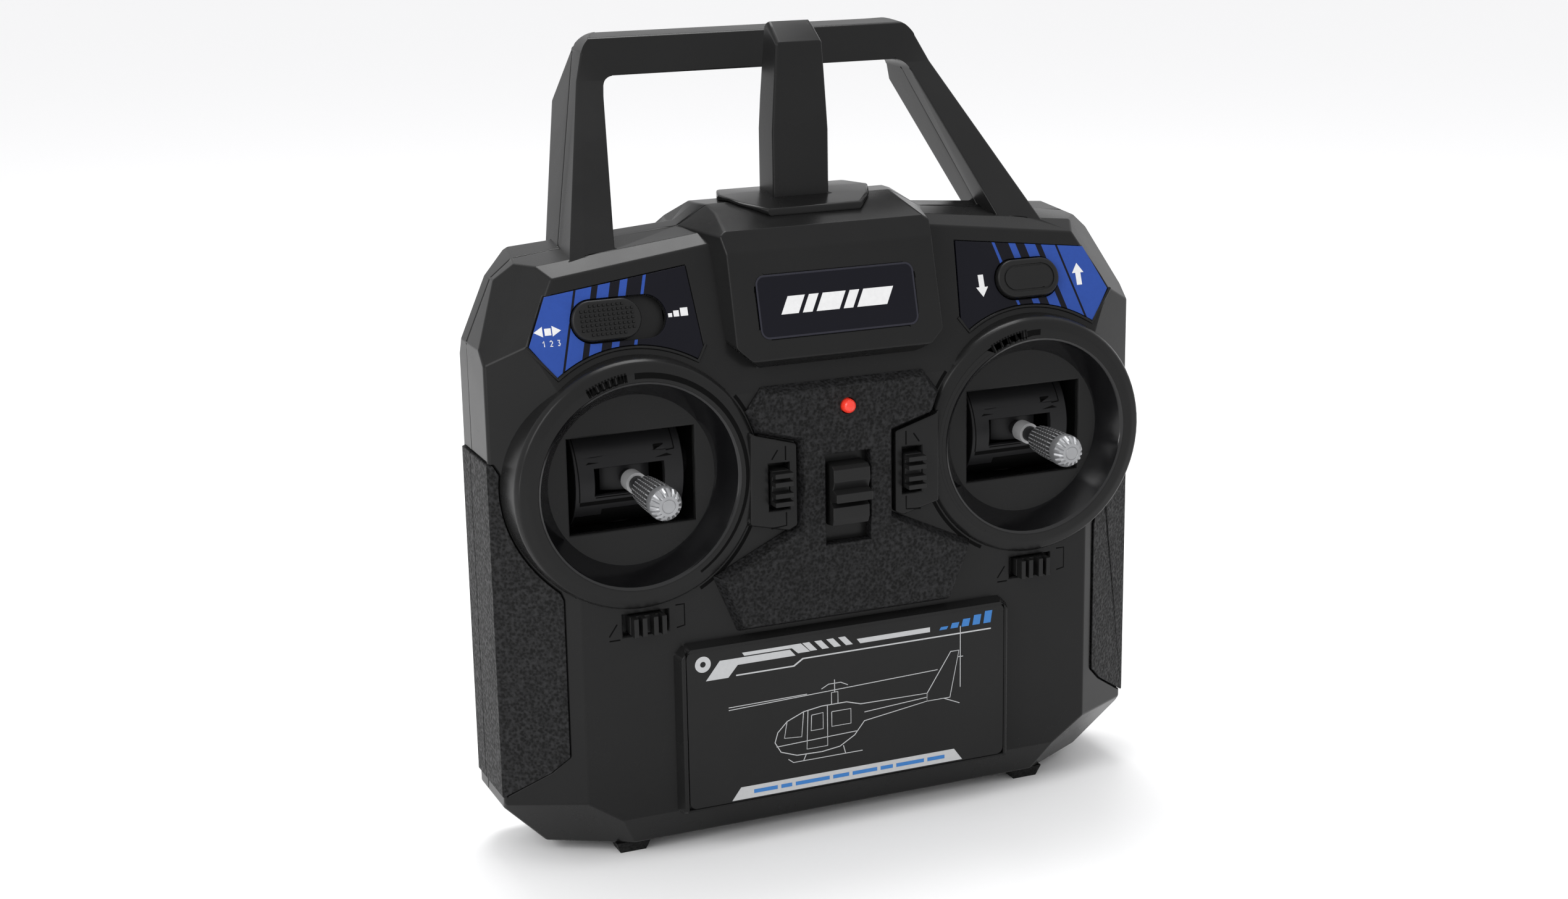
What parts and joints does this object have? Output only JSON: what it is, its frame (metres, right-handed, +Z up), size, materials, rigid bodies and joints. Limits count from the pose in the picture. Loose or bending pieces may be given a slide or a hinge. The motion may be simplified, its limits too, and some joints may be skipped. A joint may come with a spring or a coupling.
{
  "type": "two-stick handheld radio transmitter",
  "caption": "Handheld radio transmitter for a toy helicopter, with gimbal sticks in round bezels, sprung trims, slide switches, flat upright antenna housing and a leaning carrying handle.",
  "frame": {"origin": "centre of the footprint in plan, on the plane that the four feet rest on", "axes": "+X is the user's right, +Y points away from the user (the back of the case), +Z is up"},
  "size_m": [0.1776, 0.0852, 0.2046],
  "materials": {
    "black_shell": "satin-gloss moulded black",
    "textured_black": "fine moulded grain",
    "control_black": "satin moulded",
    "dark_plate": "printed glossy plate",
    "grey_label": "printed satin label",
    "red_lens": "clear gloss",
    "unit_plastic": "satin moulded",
    "switch_body": "matt",
    "circuit_board": "satin solder mask",
    "screen_can": "tinned sheet",
    "stick_aluminium": "turned and fluted, bright",
    "bright_ring": "polished",
    "spring_steel": "plain wire",
    "contact_steel": "plated",
    "screw_steel": "blackened",
    "battery_cell": "wrapped can",
    "brass": "plain",
    "rubber_foot": "matt"
  },
  "bodies": {
    "case": {"front_shell": "black_shell", "rear_shell": "black_shell", "antenna_cover": "black_shell", "center_panel": "textured_black", "name_plate": "dark_plate", "label_plate": "grey_label", "status_led": "red_lens", "speed_switch": "switch_body", "takeoff_switch": "switch_body", "power_switch_body": "switch_body", "trim_switches": "switch_body", "antenna_element": "brass", "main_board": "circuit_board", "radio_module": "screen_can", "buzzer": "switch_body", "case_screws": "screw_steel", "feet": "rubber_foot", "battery_cells": "battery_cell", "battery_contacts": "contact_steel", "left_function_plate": "dark_plate", "left_grip_front": "textured_black", "left_grip_rear": "textured_black", "left_gimbal_frame": "unit_plastic", "left_pitch_pot": "switch_body", "left_centring_springs": "spring_steel", "right_function_plate": "dark_plate", "right_grip_front": "textured_black", "right_grip_rear": "textured_black", "right_gimbal_frame": "unit_plastic", "right_pitch_pot": "switch_body", "right_centring_springs": "spring_steel"},
    "left_pitch": {"left_pitch_drum": "unit_plastic", "left_roll_pot": "switch_body"},
    "left_stick": {"left_stick_carrier": "unit_plastic", "left_stick_lock": "bright_ring", "left_stick_tip": "stick_aluminium"},
    "left_trim_v": {"left_trim_upright": "control_black"},
    "left_trim_h": {"left_trim_level": "control_black"},
    "right_pitch": {"right_pitch_drum": "unit_plastic", "right_roll_pot": "switch_body"},
    "right_stick": {"right_stick_carrier": "unit_plastic", "right_stick_lock": "bright_ring", "right_stick_tip": "stick_aluminium"},
    "right_trim_v": {"right_trim_upright": "control_black"},
    "right_trim_h": {"right_trim_level": "control_black"},
    "speed": {"speed_knob": "control_black"},
    "takeoff": {"takeoff_button": "control_black"},
    "power": {"power_knob": "control_black"},
    "cover": {"battery_cover": "black_shell"}
  },
  "joints": [
    {"name": "left_stick_pitch", "type": "hinge", "parent": "case", "child": "left_pitch", "pos_m": [-0.054, -0.0015, 0.098], "axis": [1, 0, 0], "range_deg": [-22, 22], "stiffness_Nm_per_rad": 0.03},
    {"name": "left_stick_roll", "type": "hinge", "parent": "left_pitch", "child": "left_stick", "pos_m": [-0.054, -0.0015, 0.098], "axis": [0, 0, 1], "range_deg": [-22, 22], "stiffness_Nm_per_rad": 0.03},
    {"name": "left_trim_up_down", "type": "slide", "parent": "case", "child": "left_trim_v", "axis": [0, 0, 1], "range_m": [-0.0012, 0.0012], "stiffness_N_per_m": 500},
    {"name": "left_trim_left_right", "type": "slide", "parent": "case", "child": "left_trim_h", "axis": [1, 0, 0], "range_m": [-0.0012, 0.0012], "stiffness_N_per_m": 500},
    {"name": "right_stick_pitch", "type": "hinge", "parent": "case", "child": "right_pitch", "pos_m": [0.054, -0.0015, 0.098], "axis": [1, 0, 0], "range_deg": [-22, 22], "stiffness_Nm_per_rad": 0.03},
    {"name": "right_stick_roll", "type": "hinge", "parent": "right_pitch", "child": "right_stick", "pos_m": [0.054, -0.0015, 0.098], "axis": [0, 0, 1], "range_deg": [-22, 22], "stiffness_Nm_per_rad": 0.03},
    {"name": "right_trim_up_down", "type": "slide", "parent": "case", "child": "right_trim_v", "axis": [0, 0, 1], "range_m": [-0.0012, 0.0012], "stiffness_N_per_m": 500},
    {"name": "right_trim_left_right", "type": "slide", "parent": "case", "child": "right_trim_h", "axis": [1, 0, 0], "range_m": [-0.0012, 0.0012], "stiffness_N_per_m": 500},
    {"name": "speed_slide", "type": "slide", "parent": "case", "child": "speed", "axis": [1, 0, 0], "range_m": [0, 0.006]},
    {"name": "takeoff_press", "type": "slide", "parent": "case", "child": "takeoff", "axis": [0, 0.9426, -0.3338], "range_m": [0, 0.001], "stiffness_N_per_m": 300},
    {"name": "power_slide", "type": "slide", "parent": "case", "child": "power", "axis": [0, 0, 1], "range_m": [-0.0035, 0]},
    {"name": "battery_cover_lift", "type": "slide", "parent": "case", "child": "cover", "axis": [0, 1, 0], "range_m": [0, 0.03]}
  ]
}
